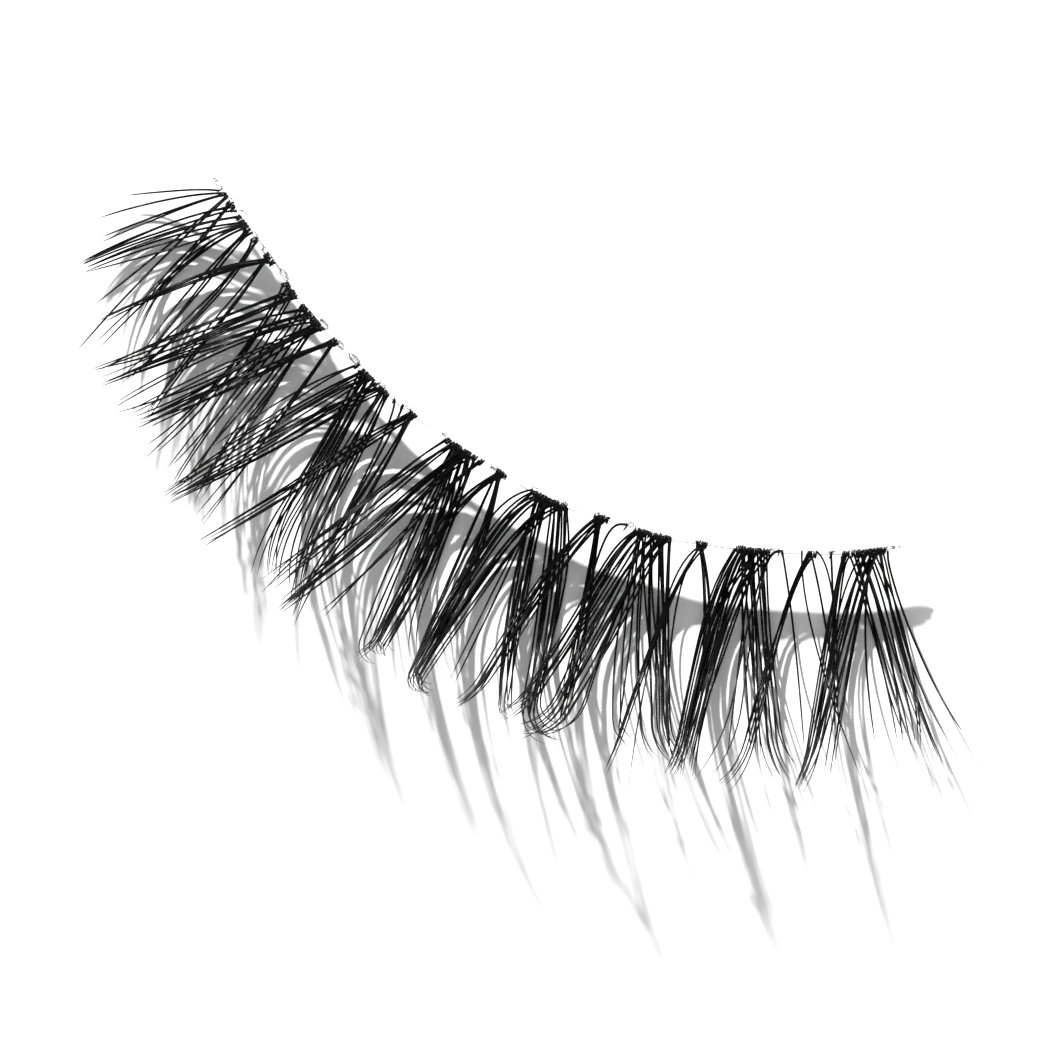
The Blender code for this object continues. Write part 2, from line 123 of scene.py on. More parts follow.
# One row for each bundle of strands, with its widths across on the layout grid. Upper bundles lean to the
# left and ride over the lower ones. hook_deg is how far the plan line of a tip turns, with plus towards the
# right end, and hook_from is the part of the length at which it starts to turn.
BUNDLES = (
    Bundle(1, 1, "upper", 220, 190, 172, 191, 125, 195, 1, 1, 1, 0, 0.8),
    Bundle(1, 1, "upper", 224, 194, 160, 201, 97, 218, 1, 1, 1, 0, 0.8),
    Bundle(1, 2, "upper", 222, 197, 160, 215, 97, 241, 3, 4, 8, 0, 0.8),
    Bundle(1, 1, "lower", 222, 199, 160, 251, 90, 308, 1, 1, 1, 0, 0.8),
    Bundle(1, 1, "lower", 223, 200, 150, 270, 76, 352, 1, 1, 1, 0, 0.8),
    Bundle(2, 4, "upper", 234, 208, 160, 229, 79, 264, 10, 7, 4, 0, 0.8),
    Bundle(2, 2, "lower", 232, 203, 193, 248, 138, 305, 6, 5, 8, 0, 0.8),
    Bundle(3, 3, "upper", 243, 224, 165, 242, 82, 271, 12, 9, 6, 0, 0.8),
    Bundle(3, 2, "upper", 240, 218, 165, 235, 80, 268, 4, 5, 6, 0, 0.8),
    Bundle(3, 3, "lower", 246, 224, 195, 253, 133, 318, 8, 11, 10, 12, 0.6),
    Bundle(3, 2, "lower", 247, 226, 180, 268, 97, 348, 4, 5, 6, 0, 0.8),
    Bundle(3, 3, "lower", 250, 230, 200, 283, 140, 352, 10, 10, 10, 10, 0.6),
    Bundle(3, 3, "lower", 254, 241, 206, 303, 122, 380, 8, 9, 10, 0, 0.8),
    Bundle(4, 4, "upper", 271, 261, 185, 283, 100, 321, 10, 5, 5, 0, 0.8),
    Bundle(4, 3, "lower", 268, 256, 213, 328, 146, 416, 8, 6, 6, 0, 0.8),
    Bundle(5, 4, "upper", 295, 294, 200, 330, 96, 370, 12, 8, 4, 0, 0.8),
    Bundle(5, 1, "upper", 290, 298, 215, 330, 100, 378, 4, 4, 6, 0, 0.8),
    Bundle(5, 3, "lower", 286, 286, 222, 378, 148, 452, 8, 8, 14, 0, 0.8),
    Bundle(5, 2, "lower", 292, 292, 235, 385, 166, 472, 6, 8, 8, 0, 0.8),
    Bundle(6, 5, "upper", 310, 312, 210, 343, 104, 384, 16, 12, 6, 0, 0.8),
    Bundle(6, 6, "upper", 320, 325, 225, 372, 130, 418, 12, 16, 26, 0, 0.8),
    Bundle(6, 2, "upper", 312, 322, 215, 352, 118, 404, 4, 5, 6, 0, 0.8),
    Bundle(6, 4, "lower", 306, 308, 240, 398, 170, 485, 14, 16, 16, 12, 0.6),
    Bundle(6, 4, "lower", 316, 322, 258, 405, 188, 494, 8, 10, 12, 12, 0.6),
    Bundle(7, 4, "upper", 337, 341, 235, 384, 142, 425, 9, 9, 10, 0, 0.8),
    Bundle(7, 3, "lower", 336, 339, 270, 430, 202, 520, 7, 6, 8, 0, 0.8),
    Bundle(8, 2, "upper", 357, 366, 285, 402, 215, 447, 4, 8, 8, 0, 0.8),
    Bundle(8, 6, "upper", 365, 377, 265, 433, 165, 496, 16, 12, 8, 0, 0.8),
    Bundle(8, 6, "upper", 379, 389, 280, 441, 167, 502, 14, 12, 6, 0, 0.8),
    Bundle(8, 9, "lower", 366, 378, 315, 468, 253, 572, 20, 18, 26, 30, 0.72),
    Bundle(8, 6, "lower", 385, 392, 340, 478, 280, 598, 12, 14, 16, 25, 0.72),
    Bundle(8, 1, "lower", 394, 400, 372, 460, 300, 595, 1, 1, 1, 0, 0.8),
    Bundle(9, 5, "upper", 413, 414, 305, 480, 202, 543, 11, 12, 7, 0, 0.8),
    Bundle(9, 4, "lower", 413, 412, 357, 510, 283, 614, 8, 8, 8, 20, 0.75),
    Bundle(9, 1, "lower", 404, 404, 375, 462, 318, 560, 1, 1, 1, 0, 0.8),
    Bundle(10, 6, "upper", 451, 444, 365, 509, 266, 582, 16, 14, 14, 8, 0.7),
    Bundle(10, 8, "upper", 465, 455, 372, 535, 276, 608, 16, 15, 9, 8, 0.7),
    Bundle(10, 2, "upper", 480, 464, 402, 537, 320, 616, 5, 6, 8, 0, 0.8),
    Bundle(10, 10, "lower", 463, 452, 430, 550, 375, 656, 22, 17, 10, 130, 0.95),
    Bundle(10, 3, "lower", 456, 448, 415, 550, 367, 655, 8, 12, 6, 120, 0.95),
    Bundle(10, 2, "lower", 474, 460, 442, 542, 402, 660, 4, 6, 5, 25, 0.8),
    Bundle(10, 2, "lower", 455, 446, 399, 553, 351, 670, 4, 10, 4, 100, 0.89),
    Bundle(11, 5, "upper", 504, 474, 430, 545, 367, 662, 9, 9, 5, -45, 0.9),
    Bundle(11, 4, "lower", 500, 472, 464, 580, 405, 690, 7, 8, 5, 110, 0.93),
    Bundle(11, 2, "lower", 498, 470, 455, 565, 419, 655, 3, 3, 5, 0, 0.8),
    Bundle(12, 1, "upper", 532, 491, 478, 538, 430, 630, 3, 4, 5, 0, 0.8),
    Bundle(12, 7, "upper", 541, 494, 478, 563, 402, 692, 18, 11, 5, 120, 0.93),
    Bundle(12, 6, "upper", 560, 502, 487, 578, 408, 697, 18, 11, 6, 115, 0.93),
    Bundle(12, 2, "upper", 550, 498, 497, 594, 455, 680, 6, 10, 8, 0, 0.8),
    Bundle(12, 8, "lower", 543, 494, 517, 600, 502, 719, 16, 14, 10, 60, 0.955),
    Bundle(12, 10, "lower", 560, 503, 549, 610, 521, 751, 22, 18, 15, 115, 0.87),
    Bundle(13, 8, "upper", 605, 515, 535, 601, 464, 712, 12, 14, 8, -30, 0.87),
    Bundle(13, 5, "lower", 600, 513, 582, 625, 561, 722, 10, 9, 8, 60, 0.94),
    Bundle(14, 1, "upper", 626, 527, 597, 565, 560, 700, 1, 1, 1, 0, 0.8),
    Bundle(14, 8, "upper", 642, 530, 592, 603, 514, 722, 16, 14, 14, -30, 0.85),
    Bundle(14, 9, "upper", 661, 535, 606, 625, 539, 748, 20, 16, 15, -60, 0.85),
    Bundle(14, 2, "upper", 666, 537, 614, 625, 569, 752, 4, 5, 8, -95, 0.82),
    Bundle(14, 3, "lower", 640, 530, 623, 640, 616, 750, 6, 14, 10, 70, 0.86),
    Bundle(14, 3, "lower", 645, 531, 643, 640, 646, 756, 8, 11, 8, 40, 0.86),
    Bundle(14, 3, "lower", 652, 533, 652, 640, 655, 764, 8, 11, 8, 45, 0.86),
    Bundle(14, 4, "lower", 660, 535, 662, 640, 663, 766, 10, 12, 8, 45, 0.85),
    Bundle(14, 2, "lower", 670, 538, 668, 640, 673, 772, 4, 5, 6, 45, 0.86),
    Bundle(15, 3, "upper", 705, 541, 655, 645, 607, 775, 7, 6, 5, -10, 0.85),
    Bundle(15, 1, "upper", 705, 541, 662, 620, 629, 780, 1, 1, 1, 0, 0.8),
    Bundle(15, 1, "upper", 706, 541, 675, 625, 668, 760, 1, 1, 1, 0, 0.8),
    Bundle(15, 4, "lower", 700, 540, 708, 632, 686, 754, 7, 8, 6, 0, 0.8),
    Bundle(16, 10, "upper", 742, 548, 707, 650, 675, 778, 14, 16, 12, -20, 0.85),
    Bundle(16, 8, "upper", 763, 548, 718, 650, 686, 774, 16, 15, 14, 0, 0.8),
    Bundle(16, 2, "upper", 781, 552, 756, 610, 724, 790, 5, 6, 10, -40, 0.8),
    Bundle(16, 4, "lower", 746, 548, 753, 650, 757, 754, 12, 8, 8, 0, 0.8),
    Bundle(16, 4, "lower", 754, 548, 762, 655, 770, 780, 14, 8, 12, 30, 0.82),
    Bundle(16, 3, "lower", 764, 549, 770, 655, 780, 768, 12, 7, 10, 35, 0.84),
    Bundle(16, 1, "lower", 752, 548, 742, 640, 727, 756, 1, 1, 1, 0, 0.8),
    Bundle(16, 1, "lower", 782, 552, 795, 640, 804, 750, 1, 1, 1, 0, 0.8),
    Bundle(17, 5, "upper", 811, 550, 774, 655, 736, 790, 9, 8, 12, -35, 0.84),
    Bundle(17, 1, "lower", 802, 549, 815, 640, 857, 768, 1, 1, 1, 0, 0.8),
    Bundle(17, 1, "lower", 816, 553, 834, 605, 838, 735, 1, 1, 1, 0, 0.8),
    Bundle(17, 1, "lower", 810, 560, 826, 625, 842, 740, 1, 1, 1, 0, 0.8),
    Bundle(18, 5, "upper", 846, 552, 829, 650, 803, 788, 10, 12, 8, -20, 0.84),
    Bundle(18, 7, "upper", 871, 550, 840, 650, 806, 788, 16, 14, 10, -20, 0.84),
    Bundle(18, 3, "upper", 878, 550, 853, 650, 828, 770, 6, 8, 14, 0, 0.8),
    Bundle(18, 1, "lower", 872, 552, 866, 640, 875, 740, 1, 1, 1, 0, 0.8),
    Bundle(18, 4, "lower", 855, 550, 884, 655, 902, 742, 14, 12, 10, 5, 0.7),
    Bundle(18, 5, "lower", 866, 550, 897, 645, 922, 745, 18, 18, 16, -8, 0.7),
    Bundle(18, 2, "lower", 880, 551, 905, 660, 941, 760, 5, 4, 4, 0, 0.8),
    Bundle(18, 2, "lower", 884, 551, 915, 655, 955, 740, 6, 12, 20, 0, 0.8),
)
# The single strand between the last two tufts, tied straight to the band.
LONE_STRAND = Bundle(17, 1, "lower", 831, 554, 834, 630, 835, 742, 1, 1, 1, 0, 0.8)

GlueRow = namedtuple("GlueRow", "x y long wide")
# Crumbs of dried clear glue on the band, with their sizes on the layout grid.
GLUE = (
    GlueRow(219, 184, 10, 5),
    GlueRow(233, 201, 8, 5),
    GlueRow(247, 214, 15, 8),
    GlueRow(257, 234, 10, 5),
    GlueRow(266, 250, 9, 5),
    GlueRow(286, 274, 13, 7),
    GlueRow(293, 288, 8, 5),
    GlueRow(326, 323, 12, 7),
    GlueRow(341, 344, 10, 6),
    GlueRow(356, 358, 14, 6),
    GlueRow(384, 384, 9, 5),
    GlueRow(409, 406, 7, 4),
    GlueRow(447, 434, 9, 4),
    GlueRow(495, 466, 8, 4),
    GlueRow(538, 488, 10, 4),
    GlueRow(563, 500, 12, 5),
    GlueRow(602, 512, 9, 4),
    GlueRow(631, 523, 9, 5),
    GlueRow(664, 532, 9, 4),
    GlueRow(700, 539, 7, 4),
    GlueRow(742, 545, 8, 4),
    GlueRow(775, 548, 9, 4),
    GlueRow(832, 551, 7, 4),
    GlueRow(856, 549, 9, 4),
    GlueRow(890, 547, 11, 5),
)

# The bowl that every strand follows: down from the band to a belly, then up to a raised tip.
BELLY_DISTANCE = 3.42 * MM
FULL_REACH = 5.8 * MM
# Curls taller than this turn up more steeply towards the tip, by one power for each further step.
STEEPER_FROM = 3.4 * MM
STEEPER_STEP = 2.0 * MM
LEAST_RISE = 0.1
UPPER_LIFT = 0.34 * MM
LIFT_FULL_AT = 0.9 * MM

# Parts of a strand's length at which it has rings, closer together at the root and towards the tip.
ROOT_PARTS = (0.0, 0.014, 0.03, 0.055, 0.09)
RINGS_ALONG = 13
RINGS_TIP = 11
RINGS_CLOSER = 1.7
TIP_FROM = 0.80
TAPER = ((0.0, 1.0), (0.5, 0.94), (0.80, 0.82), (0.91, 0.64), (0.97, 0.36), (1.0, 0.10))
WIDTH_RANGE = (0.84, 1.10)

# How the strands of a bundle leave the band: some over its top, the others from its hair side.
OVER_SHARE = 0.7
OVER_LENGTH = 0.15 * MM
FRONT_START = 0.03 * MM
START_VARIES = (0.5, 1.2)
FRONT_SPREAD = 0.3
HEAD_FADE = 0.30 * MM
# Bundles have a waist just past the band, narrower where their roots are close together, and open up slowly.
WAIST = ((0.0, 0.0), (0.03, 0.6), (0.065, 1.0), (0.16, 0.85), (0.32, 0.4), (0.5, 0.0), (1.0, 0.0))
TIGHT_ROOT = 10
TIGHT_PINCH = 0.55
LOOSE_PINCH = 0.22
# How far strands bow near the root: those of upper bundles to the left, the edges of wide bundles outwards.
ROOT_BOW = 0.14 * MM
BOW_CURL = 5.0 * MM
ROOT_FAN = 0.45
BOW_FALL = 4

# How loosely the strands of a bundle keep their order and distance, and how far a few of them bow out of it.
ROOT_LOOSE = 0.30
MIDDLE_LOOSE = 0.40
TIP_LOOSE = 0.45
SPOT_JITTER = 0.7
STRAY_SHARE = 0.10
STRAY_REACH = 1.6
MIDDLE_WIDER = 1.25
TIP_WIDER = 1.15
WEAVE = 0.03 * MM
LENGTH_MEAN = -0.006
LENGTH_VARIES = 0.020
STACK = 0.28 * MM
CURL_VARIES = 0.14
HOOK_STRAY = 0.012
HOOK_VARIES = (0.75, 1.12)
HOOK_POWER = 1.2
HOOK_LATEST = 0.97

# Knots: short dark loops over the band, side by side along the roots of a bundle.
KNOT_SPACING = 0.09 * MM
KNOT_WIDTH = 0.085 * MM
# Distance out from the band's hair side and height from the ribbon's middle, both as parts of its sizes.
KNOT_LOOP = ((0.7, -0.10), (0.5, 0.20), (0.15, 0.50), (-0.3, 0.62), (-0.7, 0.58), (-1.0, 0.42))
KNOT_SWELL = (0.5, 0.9, 1.0, 1.0, 0.9, 0.5)
KNOT_SPREAD = 0.85
KNOT_REACH = (0.75, 1.1)
KNOT_SIZES = (0.7, 1.15)
KNOT_LOOSE = 0.2
KNOT_VARIES = 0.04 * MM

LINE_STEPS = 72
RIBBON_STEPS = 160
RIBBON_SIDES = 16
RIBBON_KNOTS = 40
RIBBON_END = 0.6 * MM
RIBBON_TALL = 0.86
RIBBON_SQUARENESS = 0.8
RIBBON_SWELL = (0.75, 1.0)
RIBBON_WAVE = 0.02
RIBBON_END_ROUND = 0.5
RIBBON_END_THICK = 0.35
RIBBON_END_TALL = 0.3
LUMPY_LENGTH = 5 * MM
RIBBON_KEY = 101
LONE_KEY = 102

GLUE_HEIGHT = 0.34 * MM
GLUE_RAISE = 0.25
GLUE_LUMP = 0.45
GLUE_LUMP_SCALE = 1.7
GLUE_LUMP_STEP = 3.1
GLUE_SUBDIVISIONS = 3

# Fibre: the part of its length up to which it is darkest, and its gloss and fine relief.
FIBRE_DARK_TO = 0.55
FIBRE_SHADE = 0.3
FIBRE_GRAIN = 9000.0
FIBRE_ROUGHNESS = (0.14, 0.40)
FIBRE_RELIEF = 26000.0
FIBRE_BUMP = 0.25
FIBRE_BUMP_DEPTH = 0.004 * MM
FIBRE_IOR = 1.5
FIBRE_SPECULAR = 0.11

# Clear plastic and glue: how slanted a face is where its clear colour ends and its edge colour starts. The
# edge colour is painted shade: the darker slanted faces stand in for the dark lines that refraction draws
# along the clear edges.
EDGE_BLEND = 0.5
CLEAR_TO = 0.30
EDGE_FROM = 0.62
CLEAR_IOR = 1.42
CLEAR_GRAIN = 2500.0
CLEAR_RELIEF = 4000.0
CLEAR_STRETCH = (1.0, 1.0, 0.4)
CLEAR_BUMP = 0.2
CLEAR_BUMP_DEPTH = 0.01 * MM
BAND_ROUGHNESS = (0.06, 0.18)
GLUE_ROUGHNESS = (0.05, 0.3)

# Fine grain: its scale where a finish gives none, and the part of the noise's range that it spreads out.
GRAIN_SCALE = 5000.0
GRAIN_LOW = 0.3
GRAIN_HIGH = 0.7
GRAIN_DETAIL = 3.0
GRAIN_ROUGHNESS = 0.6

FLOOR_SIZE = 3.0
FLOOR_CELLS = 8
FLOOR_GRAIN = 900.0
FLOOR_LIGHTER = 1.02
FLOOR_ROUGHNESS = 0.8
FLOOR_SPECULAR = 0.1
WHITE = (1.0, 1.0, 1.0, 1.0)
CAMERA_REACH = 10.0
LENS_PLANE = 2.0 * MM
# Towards the key light, in the row frame.
KEY_FROM = (-0.722, 0.478, 0.5)


def on_plan(x, y):
    """A layout point in metres, with X along the band's chord and Y towards the eyelid side."""
    across = x - CHORD_MIDDLE[0]
    down = y - CHORD_MIDDLE[1]
    turn_x, turn_y = math.cos(CHORD_ANGLE), math.sin(CHORD_ANGLE)
    return np.array((turn_x * across + turn_y * down, turn_y * across - turn_x * down)) * GRID


def smooth_line(points, count):
    """Count + 1 evenly spaced points of a Catmull-Rom curve through the given points."""
    ends = np.vstack((2 * points[0] - points[1], points, 2 * points[-1] - points[-2]))
    steps = np.linspace(0.0, 1.0, CURVE_STEPS, endpoint=False)[:, None]
    runs = []
    for before, start, end, after in zip(ends, ends[1:], ends[2:], ends[3:]):
        run = 2 * start + (end - before) * steps
        run = run + (2 * before - 5 * start + 4 * end - after) * steps**2
        runs.append((run + (3 * start - before - 3 * end + after) * steps**3) / 2)
    dense = np.vstack((*runs, points[-1:]))
    length = np.concatenate(((0.0,), np.cumsum(np.linalg.norm(np.diff(dense[:, :2], axis=0), axis=1))))
    wanted = np.linspace(0.0, length[-1], count + 1)
    return np.column_stack([np.interp(wanted, length, column) for column in dense.T])


class BandLine:
    """The hair side of the band: its points in plan and the height of the ribbon's middle."""

    def __init__(self, count):
        rows = np.array([(*on_plan(row.x, row.y), row.underside_mm * MM + BAND_HEIGHT / 2) for row in BAND])
        self.points = smooth_line(rows, count)
        runs = np.diff(self.points[:, :2], axis=0)
        self.lengths = np.linalg.norm(runs, axis=1)
        self.along = runs / self.lengths[:, None]
        self.starts = np.concatenate(((0.0,), np.cumsum(self.lengths)))

    def distances(self, plan):
        """How far each plan point is from the line."""
        offsets = plan[:, None] - self.points[None, :-1, :2]
        parts = np.clip((offsets * self.along).sum(axis=2) / self.lengths, 0.0, 1.0)
        feet = self.points[:-1, :2] + self.along * (parts * self.lengths)[..., None]
        return np.linalg.norm(plan[:, None] - feet, axis=2).min(axis=1)

    def travel(self, point):
        """How far along the line the place nearest to a plan point lies."""
        offsets = point - self.points[:-1, :2]
        parts = np.clip((offsets * self.along).sum(axis=1) / self.lengths, 0.0, 1.0)
        feet = self.points[:-1, :2] + self.along * (parts * self.lengths)[:, None]
        facet = int(np.argmin(np.linalg.norm(point - feet, axis=1)))
        return self.starts[facet] + parts[facet] * self.lengths[facet]

    def place(self, travel):
        """(point with height, direction along, direction outwards) at a distance along the line."""
        point = np.array([np.interp(travel, self.starts, column) for column in self.points.T])
        middles = self.starts[:-1] + self.lengths / 2
        along = np.array([np.interp(travel, middles, column) for column in self.along.T])
        along = along / np.linalg.norm(along)
        return point, along, np.array((along[1], -along[0]))


def frame_shift():
    """The move from the layout's own origin to the row frame, found from the band's CAD node."""
    line = BandLine(BAND_FACETS)
    low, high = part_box("band")
    _, _, outwards = line.place(line.starts[-1])
    right = line.points[-1, :2] - outwards * BAND_THICKNESS
    right_x = max(right[0], line.points[-1, 0])
    underside = line.points[:, 2].min() - BAND_HEIGHT / 2
    return np.array((high.x - right_x, low.y - line.points[:, 1].min(), low.z - underside))


SHIFT = frame_shift()


def new_random(settings, *key):
    """A seeded generator for one piece."""
    return np.random.default_rng((settings.seed, *key))


def ring_parts():
    """Parts of a strand's length at which it has rings."""
    middle = np.linspace(ROOT_PARTS[-1], TIP_FROM, RINGS_ALONG + 1)[1:]
    tip = 1 - (1 - TIP_FROM) * np.linspace(1.0, 0.0, RINGS_TIP + 1)[1:] ** RINGS_CLOSER
    return np.concatenate((ROOT_PARTS, middle, tip))


def straight_rod(sides, rings, squareness=1.0):
    """A closed upright rod of unit radius, extruded ring by ring, one unit apart."""
    mesh = bmesh.new()
    bmesh.ops.create_circle(mesh, cap_ends=True, radius=1.0, segments=sides)
    cap = mesh.faces[:][0]
    inner = []
    for _ in range(rings - 1):
        grown = bmesh.ops.extrude_face_region(mesh, geom=[cap])
        cap = next(item for item in grown["geom"] if isinstance(item, bmesh.types.BMFace))
        bmesh.ops.translate(mesh, vec=(0.0, 0.0, 1.0), verts=cap.verts[:])
        inner.append(cap)
    bmesh.ops.delete(mesh, geom=inner[:-1], context="FACES_ONLY")
    for vertex in mesh.verts:
        vertex.co.x = math.copysign(abs(vertex.co.x) ** squareness, vertex.co.x)
        vertex.co.y = math.copysign(abs(vertex.co.y) ** squareness, vertex.co.y)
    bmesh.ops.recalc_face_normals(mesh, faces=mesh.faces[:])
    rod = bpy.data.meshes.new("rod")
    mesh.to_mesh(rod)
    mesh.free()
    return rod


def bent_rods(name, rod, centres, half_across, half_up, shades):
    """A mesh of copies of a straight rod, each bent along its row of centre points."""
    mesh = bmesh.new()
    for _ in centres:
        mesh.from_mesh(rod)
    data = bpy.data.meshes.new(name)
    mesh.to_mesh(data)
    mesh.free()
    unit = np.array([vertex.co for vertex in rod.vertices])
    rings = np.rint(unit[:, 2]).astype(int)
    tangents = np.gradient(centres, axis=1)
    tangents = tangents / np.linalg.norm(tangents, axis=2, keepdims=True)
    ups = np.empty_like(centres)
    up = np.broadcast_to((0.0, 0.0, 1.0), centres[:, 0].shape)
    for ring in range(centres.shape[1]):
        tangent = tangents[:, ring]
        up = up - (up * tangent).sum(axis=1, keepdims=True) * tangent
        up = up / np.linalg.norm(up, axis=1, keepdims=True)
        ups[:, ring] = up
    sides = np.cross(ups, tangents)
    places = centres[:, rings] + sides[:, rings] * (half_across[:, rings] * unit[:, 0])[..., None]
    places = places + ups[:, rings] * (half_up[:, rings] * unit[:, 1])[..., None]
    data.vertices.foreach_set("co", places.astype(np.float32).ravel())
    steps = rings / (centres.shape[1] - 1)
    along = data.attributes.new("along", "FLOAT", "POINT")
    along.data.foreach_set("value", np.tile(steps, len(centres)).astype(np.float32))
    shade = data.attributes.new("shade", "FLOAT", "POINT")
    shade.data.foreach_set("value", np.repeat(shades, len(unit)).astype(np.float32))
    data.update()
    return data


def finished(name, data, material, slot, *nodes):
    data.transform(Matrix.Translation(SHIFT))
    data.materials.clear()
    data.materials.append(material)
    data.shade_smooth()
    piece = bpy.data.objects.new(name, data)
    bpy.context.scene.collection.objects.link(piece)
    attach(piece, "root")
    if nodes:
        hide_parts(*nodes)
    return piece


def turned(steps, angles):
    """Plan steps, each turned by its angle in radians."""
    turn_x, turn_y = np.cos(angles), np.sin(angles)
    across, up = steps[..., 0], steps[..., 1]
    return np.stack((across * turn_x - up * turn_y, across * turn_y + up * turn_x), -1)


def spots(draw, count, looseness, stray_share):
    """Places across a bundle from -1 to 1, filled evenly, with some strands out of order and a few strays."""
    order = np.argsort(np.argsort(np.arange(count) + draw.normal(0.0, looseness * count / 2, count)))
    even = (order + 0.5 + draw.normal(0.0, SPOT_JITTER / 2, count)) / count * 2 - 1
    stray = np.where(draw.random(count) < stray_share, STRAY_REACH, 1.0)
    return even * stray * min(1.0, count - 1.0)


def right_of(direction):
    """The plan direction to the right of a strand that runs outwards."""
    direction = direction / np.linalg.norm(direction)
    return np.array((-direction[1], direction[0]))


def bowed(parts, root, middle, tip):
    """Points of curves at the given parts of their length, each bowed through its middle."""
    root, middle, tip = root[:, None], middle[:, None], tip[:, None]
    ends = root * (1 - parts) * (1 - 2 * parts) + tip * parts * (2 * parts - 1)
    return ends + middle * 4 * parts * (1 - parts)


def bow_parts(parts):
    """A bow near the root, which is 1 where it is widest."""
    widest = 1 / (1 + BOW_FALL)
    return parts * (1 - parts) ** BOW_FALL / (widest * (1 - widest) ** BOW_FALL)


def bundle_strands(bundle, line, curl, settings, draw):
    """(centres, radii) of the strands of one bundle, in the layout's frame."""
    count = bundle.strands
    parts = ring_parts()[None, :, None]
    root, along, outwards = line.place(line.travel(on_plan(bundle.root_x, bundle.root_y)))
    middle, tip = on_plan(bundle.middle_x, bundle.middle_y), on_plan(bundle.tip_x, bundle.tip_y)
    heading = (tip - middle) / np.linalg.norm(tip - middle)
    over = draw.random(count) < OVER_SHARE
    starts = np.where(over, -OVER_LENGTH, FRONT_START) * draw.uniform(*START_VARIES, count)
    longer = draw.normal(LENGTH_MEAN, LENGTH_VARIES, count) * np.linalg.norm(tip - root[:2])
    root_spots = spots(draw, count, ROOT_LOOSE, 0.0)
    root_shift = root_spots * bundle.root_wide
    middle_shift = spots(draw, count, MIDDLE_LOOSE, STRAY_SHARE) * bundle.middle_wide * MIDDLE_WIDER
    tip_shift = spots(draw, count, TIP_LOOSE, STRAY_SHARE) * bundle.tip_wide * TIP_WIDER
    roots = root[:2] + outwards * starts[:, None]
    tips = tip + heading * longer[:, None]
    core = bowed(parts, roots, np.tile(middle, (count, 1)), tips)
    right = right_of(tip - root[:2])
    tip_right = right_of(heading)
    splay = bowed(
        parts,
        along * root_shift[:, None],
        right * middle_shift[:, None],
        tip_right * tip_shift[:, None],
    )
    pinch = TIGHT_PINCH if bundle.root_wide <= TIGHT_ROOT else LOOSE_PINCH
    plan = core + splay * GRID / 2 * (1 - pinch * np.interp(parts, *zip(*WAIST)))
    weave = draw.normal(0.0, WEAVE if count > 2 else 0.0, count)[:, None, None] * np.sin(2 * math.pi * parts)
    lean = 1.0 if bundle.layer == "upper" else 0.0
    fan = 0.0 if bundle.root_wide <= TIGHT_ROOT else ROOT_FAN
    bow = ROOT_BOW * (curl / BOW_CURL) ** 2 * (fan * root_spots - lean)[:, None, None] * bow_parts(parts)
    plan = plan + (weave + bow) * right

    flat = plan.reshape(-1, 2)
    distances = line.distances(flat).reshape(plan.shape[:2])
    steps = np.diff(plan, axis=1, prepend=plan[:, :1])
    run = np.cumsum(np.linalg.norm(steps, axis=2), axis=1)
    past_band = np.clip(run + starts[:, None], 0.0, None)
    distances = np.where(past_band > 0.0, distances, 0.0)
    hook = math.radians(bundle.hook_deg) * draw.uniform(*HOOK_VARIES, count)
    hook_from = np.clip(draw.normal(bundle.hook_from, HOOK_STRAY, count), 0.0, HOOK_LATEST)[:, None]
    bend = np.clip((parts[..., 0] - hook_from) / (1 - hook_from), 0.0, 1.0) ** HOOK_POWER
    hooked = plan[:, :1] + np.cumsum(turned(steps, hook[:, None] * bend), axis=1)

    radius = settings.strand_width / 2 * draw.uniform(*WIDTH_RANGE, count)
    radii = radius[:, None] * np.interp(parts[..., 0], *zip(*TAPER))
    down = np.clip(1 - distances / BELLY_DISTANCE, 0.0, 1.0)
    rise = np.clip(distances / BELLY_DISTANCE - 1, 0.0, None) * BELLY_DISTANCE / FULL_REACH
    high = curl * settings.curl * draw.normal(1.0, CURL_VARIES, count)[:, None]
    steeper = max(0.0, curl - STEEPER_FROM) / STEEPER_STEP
    high = high * (rise / np.maximum(rise[:, -1:], LEAST_RISE)) ** steeper
    slope = 2 * root[2] / BELLY_DISTANCE * down + (2 + steeper) * high / FULL_REACH * rise
    layer = UPPER_LIFT if bundle.layer == "upper" else 0.0
    lift = (layer + draw.uniform(0.0, STACK, count))[:, None] * np.hypot(1.0, slope)
    lift = lift * np.clip(distances / LIFT_FULL_AT, 0.0, 1.0)
    front = draw.uniform(-FRONT_SPREAD, FRONT_SPREAD, count) * BAND_HEIGHT
    head = np.where(over, BAND_HEIGHT / 2 + radius, front)
    head = head[:, None] * np.exp(-((past_band / HEAD_FADE) ** 2))
    heights = radius[:, None] * (1 - down**2) + root[2] * down**2 + high * rise**2 + lift + head
    return np.concatenate((hooked, heights[..., None]), axis=2), radii


def all_strands(bundles, line, settings, key):
    """(centres, radii) of the strands of several bundles."""
    draw = new_random(settings, key)
    curls = {row.tuft: {"upper": row.upper_mm * MM, "lower": row.lower_mm * MM} for row in CURLS}
    made = [bundle_strands(row, line, curls[row.tuft][row.layer], settings, draw) for row in bundles]
    return np.concatenate([centres for centres, _ in made]), np.concatenate([radii for _, radii in made])


